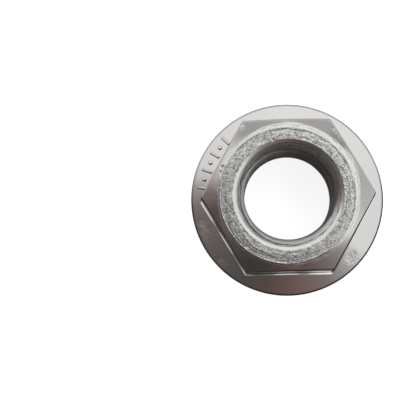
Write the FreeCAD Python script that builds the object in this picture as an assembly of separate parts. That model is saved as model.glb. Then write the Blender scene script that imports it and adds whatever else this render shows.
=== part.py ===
import FreeCAD, Part
import math
import os

# Serrated flange nut for an M10 x 1.5 thread, cold forged in one piece and tapped.
# Millimetres and degrees. The nut stands on its serrations: the bearing plane is z = 0,
# the thread axis is Z, and two flats of the hexagon face +Y and -Y.

# Spanner hexagon
across_flats = 15.0
nut_height = 9.5
corner_rounding = 0.3
corner_waist = 0.15

# Chamfer and rounded shoulder at the free end
chamfer_width = 0.72
chamfer_angle = 38.0
shoulder_radius = 1.3

# Flange
flange_overhang = 1.14
flange_height = 2.75
flange_slope = 20.0
rim_rounding = 0.8
rim_chamfer_width = 0.35
rim_chamfer_height = 0.6
root_fillet = 0.3

# Hole before threading, and its countersinks
bore_diameter = 8.66
countersink_width = 1.07
countersink_angle = 120.0

# Bearing face: a plain recess round the hole, and ratchet serrations out to the rim
recess_width = 0.9
recess_depth = 0.35
tooth_count = 24
tooth_depth = 0.45
tooth_land = 0.3
steep_flank_angle = 20.0

# Sizes that follow from the ones above
flat_radius = across_flats / 2
corner_radius = flat_radius / math.cos(math.radians(30))
flange_radius = corner_radius + flange_overhang
shoulder_edge = flat_radius - chamfer_width
bore_radius = bore_diameter / 2
countersink_radius = bore_radius + countersink_width
countersink_depth = countersink_width / math.tan(math.radians(countersink_angle / 2))
recess_radius = countersink_radius + recess_width
rounded_corner_radius = corner_radius - corner_rounding * (1 / math.cos(math.radians(30)) - 1)

# How far a cutting shape runs past the surface it cuts, how close counts as on a surface, and
# the direction of the seam in turned surfaces, which is clear of corners and mid-flats
cut_past = 1.0
near = 0.001
seam_angle = 15.0

Vector = FreeCAD.Vector
origin = Vector(0, 0, 0)
axis = Vector(0, 0, 1)


def in_section(radius, height):
    """A point of the half section that is turned about the thread axis."""
    return Vector(radius, 0, height)


def turned(edges):
    """The solid that a closed half section sweeps in one turn."""
    section = Part.Face(Part.Wire(edges))
    section.rotate(origin, axis, seam_angle)
    return section.revolve(origin, axis, 360)


def lines(points):
    """Straight edges from each point to the next."""
    return [Part.makeLine(start, end) for start, end in zip(points, points[1:])]


def radius_of(point):
    return math.hypot(point.x, point.y)


def cone_height(radius):
    """Height of the flange's sloping top at a radius; flange_height is where it meets the flats."""
    return flange_height - (radius - flat_radius) * math.tan(math.radians(flange_slope))


def chamfer_height(radius):
    """Height of the conical chamfer at the free end."""
    return nut_height - (radius - shoulder_edge) * math.tan(math.radians(chamfer_angle))


def hexagon():
    """Hexagonal prism with rounded corners, from inside the flange to the free end."""
    corners = [
        Vector(corner_radius * math.cos(turn), corner_radius * math.sin(turn), rim_chamfer_height)
        for turn in (math.radians(60 * step) for step in range(7))
    ]
    prism_height = nut_height - rim_chamfer_height
    prism = Part.Face(Part.makePolygon(corners)).extrude(axis * prism_height)
    upright = [edge for edge in prism.Edges if edge.BoundBox.ZLength > prism_height / 2]
    return prism.makeFillet(corner_rounding, upright)


def envelope():
    """Round shape that trims the hexagon: the corners are waisted, and chamfered at the end."""
    foot = cone_height(corner_radius) + 2 * root_fillet
    top = chamfer_height(corner_radius)
    waist = Part.Arc(
        in_section(corner_radius, foot),
        in_section(rounded_corner_radius - corner_waist, (foot + top) / 2),
        in_section(corner_radius, top),
    )
    below = lines([in_section(0, 0), in_section(corner_radius, 0), in_section(corner_radius, foot)])
    above = lines([
        in_section(corner_radius, top),
        in_section(shoulder_edge, nut_height),
        in_section(0, nut_height),
        in_section(0, 0),
    ])
    return turned(below + [waist.toShape()] + above)


def flange():
    """Flange with a sloping top, a deeply rounded upper rim and a chamfered lower rim."""
    slope = math.radians(flange_slope)
    halfway = (slope + math.radians(90)) / 2
    centre_radius = flange_radius - rim_rounding
    top_radius = centre_radius + rim_rounding * math.sin(slope)
    centre_height = cone_height(top_radius) - rim_rounding * math.cos(slope)
    side = in_section(flange_radius, centre_height)
    middle = in_section(
        centre_radius + rim_rounding * math.sin(halfway),
        centre_height + rim_rounding * math.cos(halfway),
    )
    top = in_section(top_radius, cone_height(top_radius))
    below = lines([
        in_section(0, 0),
        in_section(flange_radius - rim_chamfer_width, 0),
        in_section(flange_radius, rim_chamfer_height),
        side,
    ])
    above = lines([top, in_section(0, cone_height(0)), in_section(0, 0)])
    return turned(below + [Part.Arc(side, middle, top).toShape()] + above)


def circles(shape, radius, height):
    """Round edges of a shape that have this radius and lie at this height."""
    return [
        edge
        for edge in shape.Edges
        if all(
            abs(radius_of(vertex.Point) - radius) < near and abs(vertex.Point.z - height) < near
            for vertex in edge.Vertexes
        )
        and abs(edge.BoundBox.ZLength) < near
    ]


def root_edges(shape):
    """Edges where the hexagon stands on the flange."""
    return [
        edge
        for edge in shape.Edges
        if all(
            abs(point.z - cone_height(radius_of(point))) < near and radius_of(point) < corner_radius
            for point in edge.discretize(3)
        )
    ]


def forging():
    """The nut as it leaves the press, before the hole and the serrations."""
    head = hexagon().common(envelope())
    head = head.makeFillet(shoulder_radius, circles(head, shoulder_edge, nut_height))
    blank = head.fuse(flange()).removeSplitter()
    return blank.makeFillet(root_fillet, root_edges(blank))


def hole():
    """Space of the hole, its two countersinks and the recess in the bearing face."""
    lower_mouth = recess_depth
    upper_mouth = nut_height
    return turned(lines([
        in_section(0, -cut_past),
        in_section(recess_radius, -cut_past),
        in_section(recess_radius, recess_depth),
        in_section(countersink_radius, lower_mouth),
        in_section(bore_radius, lower_mouth + countersink_depth),
        in_section(bore_radius, upper_mouth - countersink_depth),
        in_section(countersink_radius, upper_mouth),
        in_section(countersink_radius, upper_mouth + cut_past),
        in_section(0, upper_mouth + cut_past),
        in_section(0, -cut_past),
    ]))


def on_rim(arc_length, height):
    """A point over the rim, by its distance round the rim from the first serration."""
    turn = arc_length / flange_radius
    return Vector(flange_radius * math.cos(turn), flange_radius * math.sin(turn), height)


def tooth_gap():
    """Space between two serrations. Its faces meet at the origin, so it shallows inwards.

    The steep flank bites when the nut turns back, and the ramp slides when it is tightened.
    """
    pitch = 2 * math.pi * flange_radius / tooth_count
    steep_run = tooth_depth * math.tan(math.radians(steep_flank_angle))
    crest_end = on_rim(tooth_land / 2, 0)
    root = on_rim(tooth_land / 2 + steep_run, tooth_depth)
    next_crest = on_rim(pitch - tooth_land / 2, 0)
    reach = (flange_radius + pitch) / flange_radius
    outer = [
        (crest_end + (crest_end - root)) * reach,
        root * reach,
        (next_crest + (next_crest - root)) * reach,
    ]
    sides = [(origin, outer[k], outer[(k + 1) % 3], origin) for k in range(3)]
    sides.append((outer[0], outer[1], outer[2], outer[0]))
    return Part.Solid(Part.Shell([Part.Face(Part.makePolygon(side)) for side in sides]))


def serrations():
    """All the gaps, spread evenly round the axis."""
    gaps = []
    for step in range(tooth_count):
        gap = tooth_gap()
        gap.rotate(origin, axis, 360 * step / tooth_count)
        gaps.append(gap)
    return gaps


def flange_nut():
    return forging().cut(hole()).cut(serrations())


os.makedirs("parts", exist_ok=True)
flange_nut().exportStep("parts/flange_nut.step")
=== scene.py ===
import math

import bpy
import numpy as np
from mathutils import Matrix, Vector


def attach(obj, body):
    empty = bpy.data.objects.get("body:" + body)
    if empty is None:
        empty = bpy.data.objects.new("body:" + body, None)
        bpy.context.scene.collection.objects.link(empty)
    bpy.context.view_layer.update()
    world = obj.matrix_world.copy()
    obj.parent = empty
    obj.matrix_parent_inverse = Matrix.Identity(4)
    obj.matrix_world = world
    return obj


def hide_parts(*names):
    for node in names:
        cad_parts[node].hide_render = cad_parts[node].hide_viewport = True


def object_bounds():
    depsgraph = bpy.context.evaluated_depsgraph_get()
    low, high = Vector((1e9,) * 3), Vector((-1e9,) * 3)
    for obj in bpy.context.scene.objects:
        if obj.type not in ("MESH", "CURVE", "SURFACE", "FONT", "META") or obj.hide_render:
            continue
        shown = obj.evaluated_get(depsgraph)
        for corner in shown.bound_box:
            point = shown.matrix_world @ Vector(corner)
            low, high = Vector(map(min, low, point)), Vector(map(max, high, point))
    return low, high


# Looks of a serrated flange nut. One piece of forged and tapped stainless steel, dressed round the
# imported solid: its edges are rounded, its hole has the real thread, and its face has the grain.
# The thread axis is Z, the serration crests stand on z = 0, and lengths are in metres.
mm = 0.001

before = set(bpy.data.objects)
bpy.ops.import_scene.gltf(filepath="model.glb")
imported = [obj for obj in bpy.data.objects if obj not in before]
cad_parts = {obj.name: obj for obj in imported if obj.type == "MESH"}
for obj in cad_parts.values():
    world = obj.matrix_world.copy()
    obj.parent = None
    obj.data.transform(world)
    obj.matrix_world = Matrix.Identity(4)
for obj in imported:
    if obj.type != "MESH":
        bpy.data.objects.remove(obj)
cad_low, cad_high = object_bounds()

# Overall size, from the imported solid
nut_height = cad_high.z - cad_low.z
flange_radius = (cad_high.x - cad_low.x) / 2

# Hexagon. A cut, here and below, is how far before and after a corner its rounding starts
half_flat_turn = math.radians(30)
flat_radius = 7.5 * mm
corner_radius = flat_radius / math.cos(half_flat_turn)
corner_rounding = 0.3 * mm
corner_waist = 0.196 * mm
waist_foot = 0.6 * mm
waist_blend = 0.05 * mm
hexagon_cut = 0.22 * mm

# Free end: a level part, a slight fall to the shoulder, which is wider and sharper on one side,
# and a conical chamfer
level_radius = 6.02 * mm
level_cut = 0.2 * mm
end_crown = 0.12 * mm
shoulder_radius = 6.78 * mm
shoulder_cut = 0.42 * mm
shoulder_drift = 0.1 * mm
shoulder_narrowing = 0.22 * mm
drift_turn = math.radians(225)
chamfer_slope = math.tan(math.radians(38))

# Flange, with a narrow land at the hexagon's root
root_height = 2.75 * mm
root_cut = 0.06 * mm
root_land = 0.24 * mm
land_rise = 0.0092 * mm
land_cut = 0.05 * mm
flange_slope = math.tan(math.radians(20))
rim_cut = 0.32 * mm
rim_chamfer_width = 0.35 * mm
rim_chamfer_height = 0.6 * mm
rim_chamfer_cut = 0.08 * mm

# Mouths of the hole. The upper one falls from the lip with these tilts, in degrees, at these radii
lip_radius = 5.49 * mm
mouth_radii = (lip_radius, 5.2 * mm, 5.13 * mm, 4.6 * mm, 4.34 * mm)
mouth_tilts = (12, 23, 43, 49, 66)
mouth_points = 200
lower_mouth_radius = 5.4 * mm
lower_mouth_slope = math.tan(math.radians(30))

# Thread: M10 x 1.5, right-hand. groove_height is the middle of a groove in the direction of X
pitch = 1.5 * mm
minor_radius = 4.36 * mm
major_radius = 5.08 * mm
pitch_radius = 4.513 * mm
flank_slope = math.tan(math.radians(60))
thread_blend = 0.03 * mm
thread_margin = 0.02 * mm
groove_height = 9.3 * mm

# Bearing face: a plain recess round the hole, and ratchet serrations out to the rim
recess_radius = 6.3 * mm
recess_depth = 0.35 * mm
recess_edge_cut = 0.04 * mm
recess_root_cut = 0.1 * mm
tooth_count = 24
tooth_depth = 0.45 * mm
tooth_land = 0.3 * mm
tooth_cut = 0.05 * mm
steep_flank = math.radians(20)

# Outer surface: for each corner of its section, steps round it and steps on to the next corner.
# least_bend keeps a corner that is straight in some direction from dividing by nothing
least_bend = 1e-9
outer_steps = [
    (0, 3),  # lip of the hole
    (5, 2),  # edge of the level part
    (13, 6),  # shoulder
    (6, 14),  # end of the hexagon
    (6, 4),  # root of the hexagon
    (6, 8),  # edge of the root's land
    (12, 3),  # upper rim
    (3, 3),  # lower rim
    (3, 8),  # serrations at the rim
    (2, 2),  # edge of the recess
    (3, 3),  # root of the recess
    (0, 0),  # lower mouth
]

# Hole: steps in each mouth, and rows across a groove, in millimetres from its middle
mouth_steps = 30
groove_rows = [-0.75, -0.56, -0.51, -0.47, -0.28, -0.11, -0.05, 0, 0.05, 0.11, 0.28, 0.47, 0.51, 0.56]

# Columns in degrees from the middle of a crest: where it lies at a corner of the hexagon,
# at every other crest, and along the ramp after it
corner_columns = [-3.2, -2.5, -1.9, -1.4, -1.0, -0.877, -0.6, -0.3, 0, 0.3, 0.6, 0.877, 1.0, 1.4, 1.835]
crest_columns = [-1.3, -0.877, -0.5, 0, 0.5, 0.877, 1.3, 1.835]
ramp_columns = [2.3, 3.4, 5, 7, 9, 11]

# Skin: vertices closer than this are merged, and edges flatter than this are smooth
merge_distance = 0.0002 * mm
nut_smoothing = math.radians(40)
mark_smoothing = math.radians(50)

# Raised bars and studs on the flange, at bearings in degrees
mark_turns = range(135, 175, 6)
mark_radius = 8.65 * mm
mark_height = 0.14 * mm
mark_rounding = 0.112 * mm
bar_length = 1.2 * mm
bar_width = 0.3 * mm
stud_width = 0.48 * mm
stud_sides = 24

# Where each finish lies. A pair gives where it fades in, or out
end_fade_in = (nut_height - 0.35 * mm, nut_height - 0.16 * mm)
ring_margin = 0.1 * mm
ring_fade = 0.15 * mm
shoulder_band = 0.5 * mm
mouth_fade_in = (4.5 * mm, 4.75 * mm)
hole_fade_out = (4.85 * mm, 5.2 * mm)
burr_width = 0.05 * mm
lip_burr = 0.35
# Painted shade along the hexagon's foot: how far it reaches off the wall, how far up the wall it fades, and
# its lowest height
root_shade_off_wall = (0.02 * mm, 0.06 * mm)
root_shade_up_wall = (root_height, root_height + 4.0 * mm)
root_shade_lowest = 1.8 * mm

# Steel: colours, and how much of each colour covers the one below it
steel_colour = (0.70, 0.69, 0.675)
pit_colour = (0.16, 0.155, 0.16)
# Colour of the painted shade along the hexagon's foot
root_shade_colour = (0.07, 0.066, 0.063)
hole_colour = (0.4, 0.385, 0.372)
thread_colour = (0.28, 0.268, 0.258)
grain_dark = (0.24, 0.24, 0.235)
grain_light = (0.86, 0.86, 0.845)
# Painted highlight: the light warm beige of the worn patches
worn_highlight_colour = (0.95, 0.87, 0.76)
hole_cover = 0.6
thread_cover = 0.8
# Share of the painted shade along the hexagon's foot
root_shade_cover = 0.95
# Share of the painted highlight's beige on the worn patches
worn_highlight_cover = 0.35
worn_speckle = 0.7

# Steel: roughness of the bright skin, and what each duller finish adds to it
bright_roughness = 0.09
added_roughness = {"ring": 0.27, "hole": 0.17, "tapped": 0.3, "worn": 0.28}

# Steel: the relief's full depth, and the strength of each thing in it
relief_depth = 0.02 * mm
skin_strength = 0.9
grain_strength = 1.2
worn_grain = 0.8
turning_strength = 4.5
ring_streaks = 2.5
mouth_streaks = 2.5
burr_strength = 2.2
dent_depth = 1.3
pit_depth = 3.0

# Forged skin: noise scales per metre, scratches drawn out along one direction, and pits, which are
# faint everywhere and crowd where a patch asks for them
wave_scale = 450
scratch_scale = 9000
scratch_turn = (0.3, 0.2, 0.9)
scratch_stretch = (0.12, 1, 1)
scratch_height = 0.04
pit_scale = 2600
pit_levels = (0.66, 0.74)
pit_crowding = 0.12
faint_pits = 0.05
pit_sink = 1.6

# Grain of the end face, and turning lines, which drift by a few cells in a turn
fine_grain_scale = 5200
broad_grain_scale = 1500
broad_grain_share = 0.3
speck_levels = (0.42, 0.86)
turning_scale = 4200
turning_drift = 5

# Worn patches, dented, rough and lightened as a painted highlight, and patches of dark pits: bearing in
# degrees, radius, height and size
worn_places = [
    (195, 9.0 * mm, 2.3 * mm, 0.9 * mm),
    (199, 9.0 * mm, 2.3 * mm, 1.2 * mm),
    (203, 9.1 * mm, 2.3 * mm, 0.9 * mm),
    (222, 9.3 * mm, 2.1 * mm, 1.0 * mm),
    (316, 8.8 * mm, 2.3 * mm, 0.9 * mm),
]
pitted_places = [
    (156, 7.0 * mm, 9.2 * mm, 0.34 * mm),
    (160, 6.95 * mm, 9.2 * mm, 0.22 * mm),
    (104, 5.52 * mm, 9.5 * mm, 0.2 * mm),
    (330, 5.55 * mm, 9.5 * mm, 0.2 * mm),
    (123, 8.1 * mm, 8.5 * mm, 0.4 * mm),
    (52, 7.9 * mm, 8.6 * mm, 0.45 * mm),
    (46, 7.7 * mm, 8.8 * mm, 0.35 * mm),
    (27, 7.6 * mm, 8.8 * mm, 0.35 * mm),
]
patch_edge_scale = 2200
patch_wander = 1.4

# Floor: white to the camera. Where the nut mirrors it, it is dark, and grey only on the far side
white = (1, 1, 1)
black = (0, 0, 0)
floor_width = 2.0
floor_height = -0.02 * mm
floor_glow = 0.85
floor_paper = (0.8, 0.8, 0.8)
floor_near = (0.03, 0.028, 0.026)
floor_far = (0.6, 0.6, 0.6)
floor_fade_in = (1 * mm, 6 * mm)
under_blend = 1.5 * mm

# Studio: bearing in degrees, level and warmth round each band of it, from the horizon up. A warm
# level has more red by its warmth, and less blue by blue_lost times its warmth
horizon_levels = [
    (0, 0.9, 0), (40, 0.8, 0), (130, 0.8, 0), (155, 0.5, 0), (172, 0.12, 0.1), (310, 0.12, 0.1),
    (325, 0.4, 0),
]
low_levels = [
    (0, 0.62, 0), (20, 0.5, 0), (42, 0.28, 0), (62, 0.5, 0), (90, 0.5, 0), (120, 0.45, 0),
    (137, 0.8, 0), (150, 0.75, 0.02), (163, 0.5, 0.1), (172, 0.22, 0.25), (185, 0.09, 0.3), (210, 0.09, 0.15),
    (240, 0.05, 0.1), (270, 0.055, 0.4), (285, 0.07, 0.45), (300, 0.18, 0.15), (318, 0.36, 0), (330, 0.55, 0),
]
high_levels = [
    (0, 0.95, 0), (45, 1.03, 0), (90, 1.05, 0), (118, 0.97, 0), (150, 0.92, 0), (158, 0.72, 0.02),
    (166, 0.38, 0.05), (180, 0.19, 0.18), (195, 0.16, 0.22), (210, 0.13, 0.2), (238, 0.09, 0.1),
    (256, 0.09, 0.4), (270, 0.115, 0.55), (285, 0.16, 0.4), (300, 0.22, 0.15), (317, 0.5, 0), (330, 0.95, 0),
]
upper_levels = [
    (0, 1.3, 0), (60, 1.35, 0), (130, 0.9, 0), (155, 0.5, 0), (180, 0.1, 0), (270, 0.1, 0), (300, 0.35, 0),
    (320, 0.8, 0),
]
overhead_colour = (0.2, 0.2, 0.196)
zenith_colour = (0.72, 0.73, 0.75)
blue_lost = 0.25

# Elevations in degrees between which one band gives way to the next
horizon_to_low = (6, 10)
low_to_high = (17, 24)
high_to_upper = (54, 62)
upper_to_overhead = (72, 80)
overhead_to_zenith = (81, 84)

# Soft lamp
lamp_size = 0.12
lamp_power = 0.01
lamp_place = (0.07, 0.12, 0.2)

# Camera, in the photograph's own directions: right and up in the frame
lens = 152.8
view_turn = math.radians(-1.5)
eye_height = 175 * mm
eye_offset = (-3.5 * mm, -11.6 * mm)
aim_height = 5 * mm
aim_offset = (-8.79 * mm, -0.25 * mm)
nearest_seen = 10 * mm


def cone_top(radius):
    """Height of the flange's sloping top."""
    return root_height - (radius - flat_radius) * flange_slope


def chamfer(radius):
    """Height of the conical chamfer at the free end."""
    return nut_height - (radius - shoulder_radius) * chamfer_slope


def soft_min(a, b, blend):
    """The smaller of two lengths, with the crease between them rounded."""
    near = np.clip(0.5 + 0.5 * (b - a) / blend, 0, 1)
    return b + (a - b) * near - blend * near * (1 - near)


def soft_max(a, b, blend):
    return -soft_min(-a, -b, blend)


def hexagon(turn):
    """Radius of the hexagon in a direction, corners rounded. Corners lie at 0, 60, ... degrees."""
    middle = corner_radius - corner_rounding / math.cos(half_flat_turn)
    off_corner = np.abs((turn + half_flat_turn) % (2 * half_flat_turn) - half_flat_turn)
    flat = flat_radius / np.cos(half_flat_turn - off_corner)
    rounding = middle * np.cos(off_corner) + np.sqrt(
        np.maximum(corner_rounding**2 - (middle * np.sin(off_corner)) ** 2, 0)
    )
    tangent = math.atan2(corner_rounding / 2, middle + corner_rounding * math.cos(half_flat_turn))
    return np.where(off_corner < tangent, rounding, flat)


def waisted(radius, height):
    """The hexagon's wall, with its corners drawn in halfway up as a press leaves them."""
    foot = cone_top(corner_radius) + waist_foot
    top = chamfer(corner_radius)
    share = np.clip((height - foot) / (top - foot), 0, 1)
    hollow = corner_radius - corner_waist * 4 * share * (1 - share)
    inside = (height > foot) & (height < top)
    return np.where(inside, soft_min(radius, hollow, waist_blend), radius)


def tooth_lift(turn):
    """How far the bearing face is cut back at the rim: ratchet serrations, steep on one side."""
    half_land = tooth_land / 2 / flange_radius
    steep_run = tooth_depth * math.tan(steep_flank) / flange_radius
    period = 2 * math.pi / tooth_count
    place = (turn + half_land) % period - half_land
    return np.interp(
        place,
        [half_land, half_land + steep_run, period - half_land],
        [0, tooth_depth, 0],
    )


def thread(height, turn):
    """Radius of the threaded wall. A groove climbs one pitch in each turn."""
    groove = groove_height + pitch * turn / (2 * math.pi)
    off_groove = np.abs((height - groove + pitch / 2) % pitch - pitch / 2)
    flank = pitch_radius + (pitch / 4 - off_groove) * flank_slope
    return soft_min(soft_max(flank, minor_radius, thread_blend), major_radius, thread_blend)


def mouth_curve():
    """Radii and heights down the mouth at the free end: a rounded lip, then a steepening cone."""
    radii = np.linspace(mouth_radii[0], mouth_radii[-1], mouth_points)
    slopes = np.tan(np.radians(np.interp(-radii, -np.array(mouth_radii), mouth_tilts)))
    falls = (slopes[1:] + slopes[:-1]) / 2 * -np.diff(radii)
    return radii, nut_height - np.concatenate([[0], np.cumsum(falls)])


def upper_mouth(height):
    """Radius of the mouth at the free end."""
    radii, heights = mouth_curve()
    return np.interp(height, heights[::-1], radii[::-1])


def lower_mouth(height):
    """Radius of the conical mouth at the bearing face."""
    return lower_mouth_radius - (height - recess_depth) / lower_mouth_slope


def shoulder_edge(turn):
    """Radius and cut of the shoulder in a direction."""
    side = 0.5 + 0.5 * np.cos(turn - drift_turn)
    return shoulder_radius + shoulder_drift * side, shoulder_cut - shoulder_narrowing * side


def outer_corners(turn):
    """Corners of the section outside the hole, from the lip round to the lower mouth.

    Each is a radius, a height and a cut, for every direction.
    """
    hex_radius = hexagon(turn)
    lift = tooth_lift(turn)
    rim_bottom = flange_radius - rim_chamfer_width
    rim_slope = rim_chamfer_height / rim_chamfer_width
    scallop = rim_bottom * rim_slope / (rim_slope - lift / flange_radius)
    same = np.ones_like(turn)
    shoulder, shoulder_rounding = shoulder_edge(turn)
    return [
        (lip_radius * same, nut_height * same, 0),
        (level_radius * same, nut_height * same, level_cut),
        (shoulder, (nut_height - end_crown) * same, shoulder_rounding),
        (hex_radius, chamfer(hex_radius), hexagon_cut),
        (hex_radius, cone_top(hex_radius + root_land) + land_rise, root_cut),
        (hex_radius + root_land, cone_top(hex_radius + root_land), land_cut),
        (flange_radius * same, cone_top(flange_radius) * same, rim_cut),
        (flange_radius * same, rim_chamfer_height * same, rim_chamfer_cut),
        (scallop, rim_slope * (scallop - rim_bottom), tooth_cut),
        (recess_radius * same, lift * recess_radius / flange_radius, recess_edge_cut),
        (recess_radius * same, recess_depth * same, recess_root_cut),
        (lower_mouth_radius * same, recess_depth * same, 0),
    ]


def heading(start, end):
    """Unit vector in the section from one point to another, for every direction."""
    way = end - start
    return way / np.hypot(*way)


def rounded(corner, before, after, cut, steps):
    """Rows round a corner, on a cubic curve that follows an arc from one end of the cut to the other."""
    bend = np.arccos(np.clip((before * after).sum(0), -1, 1))
    handle = 4 / 3 * np.tan(bend / 4) / np.maximum(np.tan(bend / 2), least_bend)
    enter, leave = corner - before * cut, corner + after * cut
    near_enter = enter + (corner - enter) * handle
    near_leave = leave + (corner - leave) * handle
    rows = []
    for step in range(steps + 1):
        t = step / steps
        rows.append(
            enter * (1 - t) ** 3
            + near_enter * 3 * t * (1 - t) ** 2
            + near_leave * 3 * t**2 * (1 - t)
            + leave * t**3
        )
    return rows


def outer_surface(turn):
    """Radius and height of every row outside the hole, from the upper lip round to the lower mouth."""
    corners = [(np.stack([radius, height]), cut) for radius, height, cut in outer_corners(turn)]
    rows = []
    for k, (around, along) in enumerate(outer_steps):
        here, cut = corners[k]
        if around:
            before = heading(corners[k - 1][0], here)
            rows += rounded(here, before, heading(here, corners[k + 1][0]), cut, around)
        else:
            rows.append(here)
        if along:
            leave = rows[-1]
            following, next_cut = corners[k + 1]
            arrive = following - heading(here, following) * next_cut
            rows += [leave + (arrive - leave) * step / along for step in range(1, along)]
    return [np.stack([waisted(radius, height), height]) for radius, height in rows]


def mouth_surface(mouth, low, high, turn):
    """Rows between two heights of a mouth, where only the grooves go deeper than its cone."""
    rows = []
    for step in range(1, mouth_steps):
        height = np.full_like(turn, low + (high - low) * step / mouth_steps)
        rows.append(np.stack([np.maximum(mouth(height), thread(height, turn)), height]))
    return rows


def hole_surface(turn):
    """Radius and height of every row in the hole, from the lower mouth up to the upper lip."""
    low = recess_depth + (lower_mouth_radius - minor_radius) * lower_mouth_slope + thread_margin
    high = mouth_curve()[1][-1] - thread_margin
    rows = mouth_surface(lower_mouth, recess_depth, low, turn)
    lowest_groove = -math.ceil(nut_height / pitch) - 1
    for groove in range(lowest_groove, 1):
        for offset in groove_rows:
            middle = groove_height + pitch * (turn / (2 * math.pi) + groove)
            height = np.clip(middle + offset * mm, low, high)
            rows.append(np.stack([thread(height, turn), height]))
    return rows + mouth_surface(upper_mouth, high, nut_height, turn)


def directions():
    """Directions of the columns round the nut, the first one again at the end.

    They lie close together at the serrations' edges and at the hexagon's corners.
    """
    turns = []
    for tooth in range(tooth_count):
        near_crest = corner_columns if tooth % (tooth_count // 6) == 0 else crest_columns
        turns += [tooth * 360 / tooth_count + place for place in near_crest + ramp_columns]
    return np.radians(np.array(turns + [turns[0] + 360]))


def clean_start():
    bpy.ops.object.select_all(action="DESELECT")


def spun_ring(rows, columns):
    """A ring with a vertex for each row, spun once round: the nut's faces, before they have a shape."""
    clean_start()
    bpy.ops.mesh.primitive_circle_add(vertices=rows, radius=flange_radius, location=(0, 0, 0))
    bpy.ops.object.mode_set(mode="EDIT")
    bpy.ops.mesh.select_all(action="SELECT")
    bpy.ops.mesh.spin(
        steps=columns - 1, angle=-2 * math.pi, center=(0, 0, 0), axis=(0, 0, 1), use_auto_merge=False
    )
    bpy.ops.object.mode_set(mode="OBJECT")
    return bpy.context.object


def store(mesh, name, values):
    """Keeps one number for each vertex, for the material to read."""
    layer = mesh.attributes.new(name, "FLOAT", "POINT")
    layer.data.foreach_set("value", values.astype(np.float32).ravel())


def fade_in(values, low, high):
    """Rises smoothly from 0 at the first value to 1 at the second."""
    share = np.clip((values - low) / (high - low), 0, 1)
    return share * share * (3 - 2 * share)


def burr_at(radius, place):
    """1 on a circle where a burr stands, falling to 0 beside it."""
    return np.exp(-(((radius - place) / burr_width) ** 2))


def painted_root_shade(turn, radius, height):
    """1 along the foot of the hexagon, where shade is painted, fading up the flats."""
    off_wall = np.abs(radius - hexagon(turn)[:, None])
    on_wall = (1 - fade_in(off_wall, *root_shade_off_wall)) * (height > root_shade_lowest)
    return on_wall * (1 - fade_in(height, *root_shade_up_wall))


def store_finishes(mesh, turn, radius, height, in_hole):
    """Where each finish of the steel, and the painted shade along the hexagon's foot, lies, for every column
    and row.
    """
    shoulder, shoulder_rounding = shoulder_edge(turn)
    ring_radius = (shoulder - shoulder_rounding + ring_margin)[:, None]
    on_end = (1 - in_hole) * fade_in(height, *end_fade_in)
    in_mouth = fade_in(radius, *mouth_fade_in) * (height > nut_height / 2)
    on_lip = (1 - in_hole) * burr_at(radius, lip_radius)
    store(mesh, "ring", on_end * (1 - fade_in(radius, ring_radius, ring_radius + ring_fade)))
    store(mesh, "shoulder", on_end * fade_in(radius, ring_radius - shoulder_band, ring_radius))
    store(mesh, "tapped", in_hole * (1 - in_mouth))
    # The corner attribute holds the painted shade along the hexagon's foot
    store(mesh, "corner", painted_root_shade(turn, radius, height))
    store(mesh, "burr", on_end * burr_at(radius, ring_radius) + lip_burr * on_lip)
    store(mesh, "hole", in_hole * (1 - fade_in(radius, *hole_fade_out)))


def make_nut():
    """The nut's whole skin. Its section is worked out for every direction, row by row."""
    turn = directions()
    outer = outer_surface(turn)
    section = np.stack(outer + hole_surface(turn))
    nut = spun_ring(len(section), len(turn))
    nut.name = nut.data.name = "nut_dressed"
    radius, height = section[:, 0, :].T, section[:, 1, :].T
    column = turn[:, None]
    places = np.stack([radius * np.cos(column), radius * np.sin(column), height], axis=-1)
    nut.data.vertices.foreach_set("co", places.astype(np.float32).ravel())
    in_hole = np.zeros_like(radius)
    in_hole[:, len(outer):] = 1
    store_finishes(nut.data, turn, radius, height, in_hole)
    nut.data.update()
    bpy.ops.object.mode_set(mode="EDIT")
    bpy.ops.mesh.select_all(action="SELECT")
    bpy.ops.mesh.remove_doubles(threshold=merge_distance)
    bpy.ops.mesh.normals_make_consistent(inside=False)
    bpy.ops.object.mode_set(mode="OBJECT")
    bpy.ops.object.shade_smooth_by_angle(angle=nut_smoothing)
    return nut


def make_mark(turn, is_bar):
    """One raised bar or round stud, half sunk into the flange's sloping top."""
    bearing = math.radians(turn)
    outwards = Vector((math.cos(bearing), math.sin(bearing), 0))
    spot = outwards * mark_radius + Vector((0, 0, cone_top(mark_radius)))
    lean = (0, math.atan(flange_slope), bearing)
    clean_start()
    if is_bar:
        bpy.ops.mesh.primitive_cube_add(size=1, location=spot, rotation=lean)
        length, width = bar_length, bar_width
    else:
        bpy.ops.mesh.primitive_cylinder_add(
            vertices=stud_sides, radius=0.5, depth=1, location=spot, rotation=lean
        )
        length, width = stud_width, stud_width
    mark = bpy.context.object
    mark.scale = (length, width, mark_height * 2)
    bpy.ops.object.transform_apply(location=True, rotation=True, scale=True)
    rounding = mark.modifiers.new("rounding", "BEVEL")
    rounding.width = mark_rounding
    rounding.segments = 3
    bpy.ops.object.modifier_apply(modifier=rounding.name)
    return mark


def make_marks():
    """Plain bars and studs in turn along the flange, as one piece."""
    pieces = [make_mark(turn, k % 2 == 0) for k, turn in enumerate(mark_turns)]
    clean_start()
    for mark in pieces:
        mark.select_set(True)
    bpy.context.view_layer.objects.active = pieces[0]
    bpy.ops.object.join()
    marks = bpy.context.object
    marks.name = marks.data.name = "flange_marks"
    bpy.ops.object.shade_smooth_by_angle(angle=mark_smoothing)
    return marks


# Ways to build node trees


def add(tree, kind, **settings):
    node = tree.nodes.new(kind)
    for name, value in settings.items():
        setattr(node, name, value)
    return node


def feed(tree, value, socket):
    """Sets a socket, from another one or to a constant. A constant colour gets its fourth number here."""
    if isinstance(value, bpy.types.NodeSocket):
        tree.links.new(value, socket)
    elif socket.type == "RGBA":
        socket.default_value = (*value, 1)
    else:
        socket.default_value = value


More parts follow.
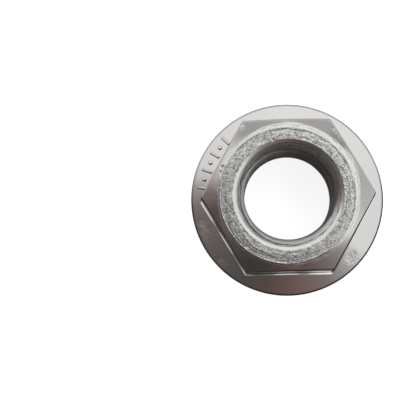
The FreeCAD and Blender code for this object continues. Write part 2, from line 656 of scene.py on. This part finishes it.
def maths(tree, operation, *values):
    node = add(tree, "ShaderNodeMath", operation=operation)
    for value, socket in zip(values, node.inputs):
        feed(tree, value, socket)
    return node.outputs[0]


def spread(tree, value, low, high):
    """Rises smoothly from 0 at the first value to 1 at the second."""
    node = add(tree, "ShaderNodeMapRange", interpolation_type="SMOOTHSTEP")
    for name, number in zip(("Value", "From Min", "From Max"), (value, low, high)):
        feed(tree, number, node.inputs[name])
    return node.outputs["Result"]


def blend(tree, share, first, second):
    """Mixes two colours. On this node they are inputs 6 and 7, and the mixed colour is output 2."""
    node = add(tree, "ShaderNodeMix", data_type="RGBA")
    feed(tree, share, node.inputs[0])
    feed(tree, first, node.inputs[6])
    feed(tree, second, node.inputs[7])
    return node.outputs[2]


def cover(tree, colour, mask, share, coat):
    """Covers a colour with a share of another one where a mask is 1."""
    return blend(tree, maths(tree, "MULTIPLY", mask, share), colour, coat)


def noise(tree, place, scale, detail=2.0, roughness=0.5):
    node = add(tree, "ShaderNodeTexNoise")
    feed(tree, place, node.inputs["Vector"])
    node.inputs["Scale"].default_value = scale
    node.inputs["Detail"].default_value = detail
    node.inputs["Roughness"].default_value = roughness
    return node.outputs["Fac"]


def ramp(tree, value, stops):
    """A colour that changes along a value, from stops of place and colour."""
    node = add(tree, "ShaderNodeValToRGB")
    feed(tree, value, node.inputs[0])
    elements = node.color_ramp.elements
    while len(elements) < len(stops):
        elements.new(0.5)
    for element, (place, colour) in zip(elements, sorted(stops)):
        element.position = place
        element.color = (*colour, 1)
    return node.outputs["Color"]


def new_group(name, inputs, outputs):
    """An empty node group with named inputs and outputs, all of them single numbers."""
    tree = bpy.data.node_groups.new(name, "ShaderNodeTree")
    for label, value in inputs.items():
        socket = tree.interface.new_socket(label, in_out="INPUT", socket_type="NodeSocketFloat")
        socket.default_value = value
    for label in outputs:
        tree.interface.new_socket(label, in_out="OUTPUT", socket_type="NodeSocketFloat")
    return tree, add(tree, "NodeGroupInput"), add(tree, "NodeGroupOutput")


def use(tree, group, **inputs):
    """Places a node group in a material with its own values."""
    node = add(tree, "ShaderNodeGroup", node_tree=group)
    for name, value in inputs.items():
        feed(tree, value, node.inputs[name])
    return node.outputs


# Finishes of the steel


def forged_skin():
    """Relief and stain of forged metal: gentle waves, fine scratches and scattered pits."""
    inputs = {"Waves": 1.0, "Scratches": 1.0, "Pits": 1.0}
    tree, given, result = new_group("forged_skin", inputs, ["Height", "Pitted"])
    place = add(tree, "ShaderNodeTexCoord").outputs["Object"]
    waves = noise(tree, place, wave_scale)
    stretched = add(tree, "ShaderNodeMapping")
    feed(tree, place, stretched.inputs["Vector"])
    stretched.inputs["Rotation"].default_value = scratch_turn
    stretched.inputs["Scale"].default_value = scratch_stretch
    scratches = noise(tree, stretched.outputs["Vector"], scratch_scale, detail=3, roughness=0.7)
    spots = noise(tree, place, pit_scale, detail=3, roughness=0.6)
    crowded = maths(tree, "MULTIPLY_ADD", given.outputs["Pits"], pit_crowding, spots)
    strength = maths(tree, "MULTIPLY_ADD", given.outputs["Pits"], 1 - faint_pits, faint_pits)
    pitted = maths(tree, "MULTIPLY", spread(tree, crowded, *pit_levels), strength)
    height = maths(tree, "MULTIPLY", waves, given.outputs["Waves"])
    scratch_depth = maths(tree, "MULTIPLY", given.outputs["Scratches"], scratch_height)
    height = maths(tree, "MULTIPLY_ADD", scratches, scratch_depth, height)
    height = maths(tree, "SUBTRACT", height, maths(tree, "MULTIPLY", pitted, pit_sink))
    feed(tree, height, result.inputs["Height"])
    feed(tree, pitted, result.inputs["Pitted"])
    return tree


def blasted_grain():
    """Coarse matt grain of the end face."""
    tree, given, result = new_group("blasted_grain", {"Depth": 1.0}, ["Height", "Speck"])
    place = add(tree, "ShaderNodeTexCoord").outputs["Object"]
    fine = noise(tree, place, fine_grain_scale, detail=3, roughness=0.6)
    broad = noise(tree, place, broad_grain_scale, roughness=0.6)
    height = maths(tree, "SUBTRACT", fine, 0.5)
    feed(tree, maths(tree, "MULTIPLY", height, given.outputs["Depth"]), result.inputs["Height"])
    mottle = maths(tree, "MULTIPLY_ADD", broad, broad_grain_share, fine)
    feed(tree, spread(tree, mottle, *speck_levels), result.inputs["Speck"])
    return tree


def turning_lines():
    """Fine rings left by turning, as relief. The noise runs along the radius."""
    tree, given, result = new_group("turning_lines", {"Depth": 1.0}, ["Height"])
    split = add(tree, "ShaderNodeSeparateXYZ")
    feed(tree, add(tree, "ShaderNodeTexCoord").outputs["Object"], split.inputs[0])
    x, y = split.outputs["X"], split.outputs["Y"]
    square = maths(tree, "MULTIPLY_ADD", x, x, maths(tree, "MULTIPLY", y, y))
    radius = maths(tree, "SQRT", square)
    place = add(tree, "ShaderNodeCombineXYZ")
    feed(tree, maths(tree, "MULTIPLY", radius, turning_scale), place.inputs[0])
    for side, socket in ((x, place.inputs[1]), (y, place.inputs[2])):
        feed(tree, maths(tree, "MULTIPLY", maths(tree, "DIVIDE", side, radius), turning_drift), socket)
    lines = maths(tree, "SUBTRACT", noise(tree, place.outputs[0], 1, roughness=0.6), 0.5)
    feed(tree, maths(tree, "MULTIPLY", lines, given.outputs["Depth"]), result.inputs["Height"])
    return tree


def patch(tree, place, rough_edge, turn, radius, height, size):
    """A soft round mask about one place on the nut, with a ragged edge."""
    node = add(tree, "ShaderNodeVectorMath", operation="DISTANCE")
    feed(tree, place, node.inputs[0])
    bearing = math.radians(turn)
    node.inputs[1].default_value = (radius * math.cos(bearing), radius * math.sin(bearing), height)
    wander = maths(tree, "SUBTRACT", rough_edge, 0.5)
    ragged = maths(tree, "MULTIPLY_ADD", wander, size * patch_wander, node.outputs["Value"])
    return spread(tree, ragged, size, 0.0)


def patches(tree, place, rough_edge, places):
    """One mask for all the patches of a list."""
    mask = 0.0
    for turn, radius, height, size in places:
        mask = maths(tree, "MAXIMUM", mask, patch(tree, place, rough_edge, turn, radius, height, size))
    return mask


def find_masks(tree):
    """Where each finish, and the painted shade along the hexagon's foot, lies: as the mesh keeps it, and in
    the worn and pitted patches.
    """
    masks = {}
    # corner is the painted shade along the hexagon's foot
    for name in ("ring", "hole", "tapped", "shoulder", "burr", "corner"):
        masks[name] = add(tree, "ShaderNodeAttribute", attribute_name=name).outputs["Fac"]
    place = add(tree, "ShaderNodeTexCoord").outputs["Object"]
    rough_edge = noise(tree, place, patch_edge_scale, detail=3, roughness=0.6)
    masks["worn"] = patches(tree, place, rough_edge, worn_places)
    masks["pitted"] = patches(tree, place, rough_edge, pitted_places)
    return masks


def mix_relief(tree, masks, skin, grain):
    """Height of the skin, grain, turning lines and burrs, less the dents and pits."""
    depth = maths(tree, "MULTIPLY", masks["shoulder"], turning_strength)
    depth = maths(tree, "MULTIPLY_ADD", masks["ring"], ring_streaks, depth)
    depth = maths(tree, "MULTIPLY_ADD", masks["hole"], mouth_streaks, depth)
    turned = use(tree, turning_lines(), Depth=depth)
    relief = maths(tree, "MULTIPLY_ADD", skin["Height"], skin_strength, grain["Height"])
    relief = maths(tree, "ADD", relief, turned["Height"])
    relief = maths(tree, "MULTIPLY_ADD", masks["burr"], burr_strength, relief)
    relief = maths(tree, "MULTIPLY_ADD", masks["worn"], -dent_depth, relief)
    return maths(tree, "MULTIPLY_ADD", masks["pitted"], -pit_depth, relief)


def mix_colour(tree, masks, skin, grain):
    """Bright steel, darker in pits, hole and thread, with painted shade along the hexagon's foot, specks on
    the ring, and worn patches lightened as a painted highlight.
    """
    colour = blend(tree, skin["Pitted"], steel_colour, pit_colour)
    colour = cover(tree, colour, masks["hole"], hole_cover, hole_colour)
    colour = cover(tree, colour, masks["tapped"], thread_cover, thread_colour)
    # Painted shade along the hexagon's foot
    colour = cover(tree, colour, masks["corner"], root_shade_cover, root_shade_colour)
    speckled = blend(tree, grain["Speck"], grain_dark, grain_light)
    # Painted highlight: the worn patches are lightened to beige
    speckled = cover(tree, speckled, masks["worn"], worn_highlight_cover, worn_highlight_colour)
    worn = maths(tree, "MULTIPLY", masks["worn"], worn_speckle)
    return blend(tree, maths(tree, "MAXIMUM", masks["ring"], worn), colour, speckled)


def mix_roughness(tree, masks):
    roughness = bright_roughness
    for name, added in added_roughness.items():
        roughness = maths(tree, "MULTIPLY_ADD", masks[name], added, roughness)
    return roughness


def steel():
    """Bright forged stainless steel, with a matt end face, a darker hole, painted shade along the hexagon's
    foot, and a few worn patches that are dented, rough and lightened as a painted highlight.
    """
    material = bpy.data.materials.new("stainless_steel")
    material.use_nodes = True
    tree = material.node_tree
    shader = tree.nodes["Principled BSDF"]
    masks = find_masks(tree)
    skin = use(tree, forged_skin(), Waves=1.0, Scratches=1.0, Pits=masks["pitted"])
    grained = maths(tree, "MAXIMUM", masks["ring"], maths(tree, "MULTIPLY", masks["worn"], worn_grain))
    grain = use(tree, blasted_grain(), Depth=maths(tree, "MULTIPLY", grained, grain_strength))
    bump = add(tree, "ShaderNodeBump")
    bump.inputs["Strength"].default_value = 1.0
    bump.inputs["Distance"].default_value = relief_depth
    feed(tree, mix_relief(tree, masks, skin, grain), bump.inputs["Height"])
    feed(tree, bump.outputs["Normal"], shader.inputs["Normal"])
    feed(tree, mix_colour(tree, masks, skin, grain), shader.inputs["Base Color"])
    feed(tree, mix_roughness(tree, masks), shader.inputs["Roughness"])
    shader.inputs["Metallic"].default_value = 1.0
    return material


# Floor, light and camera


def lay_floor():
    """A white floor that takes the nut's shadow. From below it is clear, so the underside shows."""
    clean_start()
    bpy.ops.mesh.primitive_plane_add(size=floor_width, location=(0, 0, floor_height))
    floor = bpy.context.object
    floor.name = floor.data.name = "floor"
    material = bpy.data.materials.new("white_floor")
    material.use_nodes = True
    tree = material.node_tree
    shader = tree.nodes["Principled BSDF"]
    shader.inputs["Roughness"].default_value = 1.0
    shader.inputs["Specular IOR Level"].default_value = 0.0
    mirrored = add(tree, "ShaderNodeLightPath").outputs["Is Glossy Ray"]
    place = add(tree, "ShaderNodeTexCoord").outputs["Object"]
    split = add(tree, "ShaderNodeSeparateXYZ")
    feed(tree, place, split.inputs[0])
    far = spread(tree, split.outputs["Y"], *floor_fade_in)
    away = add(tree, "ShaderNodeVectorMath", operation="LENGTH")
    feed(tree, place, away.inputs[0])
    clear = spread(tree, away.outputs["Value"], flange_radius, flange_radius + under_blend)
    reflection = blend(tree, maths(tree, "MULTIPLY", far, clear), floor_near, floor_far)
    feed(tree, blend(tree, mirrored, white, reflection), shader.inputs["Emission Color"])
    feed(tree, blend(tree, mirrored, floor_paper, black), shader.inputs["Base Color"])
    shader.inputs["Emission Strength"].default_value = floor_glow
    below = add(tree, "ShaderNodeNewGeometry").outputs["Backfacing"]
    feed(tree, maths(tree, "SUBTRACT", 1.0, below), shader.inputs["Alpha"])
    floor.data.materials.append(material)


def band(tree, bearing, levels):
    """Colour round one band of the studio. A radial gradient has bearing 180 at both of its ends."""
    stops = []
    for turn, level, warmth in levels:
        colour = (level * (1 + warmth), level, level * (1 - warmth * blue_lost))
        stops.append(((turn / 360 + 0.5) % 1, colour))
    first, last = min(stops), max(stops)
    share = (1 - last[0]) / (first[0] + 1 - last[0])
    seam = tuple(b + (a - b) * share for a, b in zip(first[1], last[1]))
    return ramp(tree, bearing, stops + [(0.0, seam), (1.0, seam)])


def light_world():
    """Studio round the nut, as its polished faces mirror it: bright on one side, dark on the other."""
    world = bpy.data.worlds.new("studio")
    bpy.context.scene.world = world
    world.use_nodes = True
    tree = world.node_tree
    background = tree.nodes["Background"]
    place = add(tree, "ShaderNodeTexCoord").outputs["Generated"]
    gradient = add(tree, "ShaderNodeTexGradient", gradient_type="RADIAL")
    feed(tree, place, gradient.inputs["Vector"])
    bearing = gradient.outputs["Fac"]
    split = add(tree, "ShaderNodeSeparateXYZ")
    feed(tree, place, split.inputs[0])
    elevation = maths(tree, "MULTIPLY", maths(tree, "ARCSINE", split.outputs["Z"]), math.degrees(1))
    colour = band(tree, bearing, horizon_levels)
    for limits, levels in (
        (horizon_to_low, low_levels),
        (low_to_high, high_levels),
        (high_to_upper, upper_levels),
    ):
        colour = blend(tree, spread(tree, elevation, *limits), colour, band(tree, bearing, levels))
    colour = blend(tree, spread(tree, elevation, *upper_to_overhead), colour, overhead_colour)
    colour = blend(tree, spread(tree, elevation, *overhead_to_zenith), colour, zenith_colour)
    seen = add(tree, "ShaderNodeLightPath").outputs["Is Camera Ray"]
    feed(tree, blend(tree, seen, colour, white), background.inputs["Color"])
    background.inputs["Strength"].default_value = 1.0


def hang_lamp():
    """A soft lamp for the shadow on the floor. It isn't mirrored in the nut."""
    lamp_data = bpy.data.lights.new("soft_lamp", "AREA")
    lamp_data.size = lamp_size
    lamp_data.energy = lamp_power
    lamp = bpy.data.objects.new("soft_lamp", lamp_data)
    lamp.location = lamp_place
    lamp.rotation_euler = Vector(lamp_place).to_track_quat("Z", "Y").to_euler()
    lamp.visible_glossy = False
    bpy.context.scene.collection.objects.link(lamp)


def place_camera():
    """Looks down on the free end, as the photograph does, with the nut right of the middle."""
    data = bpy.data.cameras.new("camera")
    data.lens = lens
    data.clip_start = nearest_seen
    camera = bpy.data.objects.new("camera", data)
    right = Vector((math.cos(view_turn), math.sin(view_turn), 0))
    up = Vector((-math.sin(view_turn), math.cos(view_turn), 0))
    eye = right * eye_offset[0] + up * eye_offset[1] + Vector((0, 0, eye_height))
    aim = right * aim_offset[0] + up * aim_offset[1] + Vector((0, 0, aim_height))
    back = (eye - aim).normalized()
    across = (right - back * right.dot(back)).normalized()
    rise = back.cross(across)
    camera.matrix_world = Matrix((
        (across.x, rise.x, back.x, eye.x),
        (across.y, rise.y, back.y, eye.y),
        (across.z, rise.z, back.z, eye.z),
        (0, 0, 0, 1),
    ))
    bpy.context.scene.collection.objects.link(camera)
    bpy.context.scene.camera = camera


nut = make_nut()
marks = make_marks()
finish = steel()
for piece in (nut, marks):
    piece.data.materials.append(finish)
    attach(piece, "root")
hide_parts("flange_nut")
lay_floor()
light_world()
hang_lamp()
place_camera()
bpy.context.scene.view_settings.view_transform = "Standard"
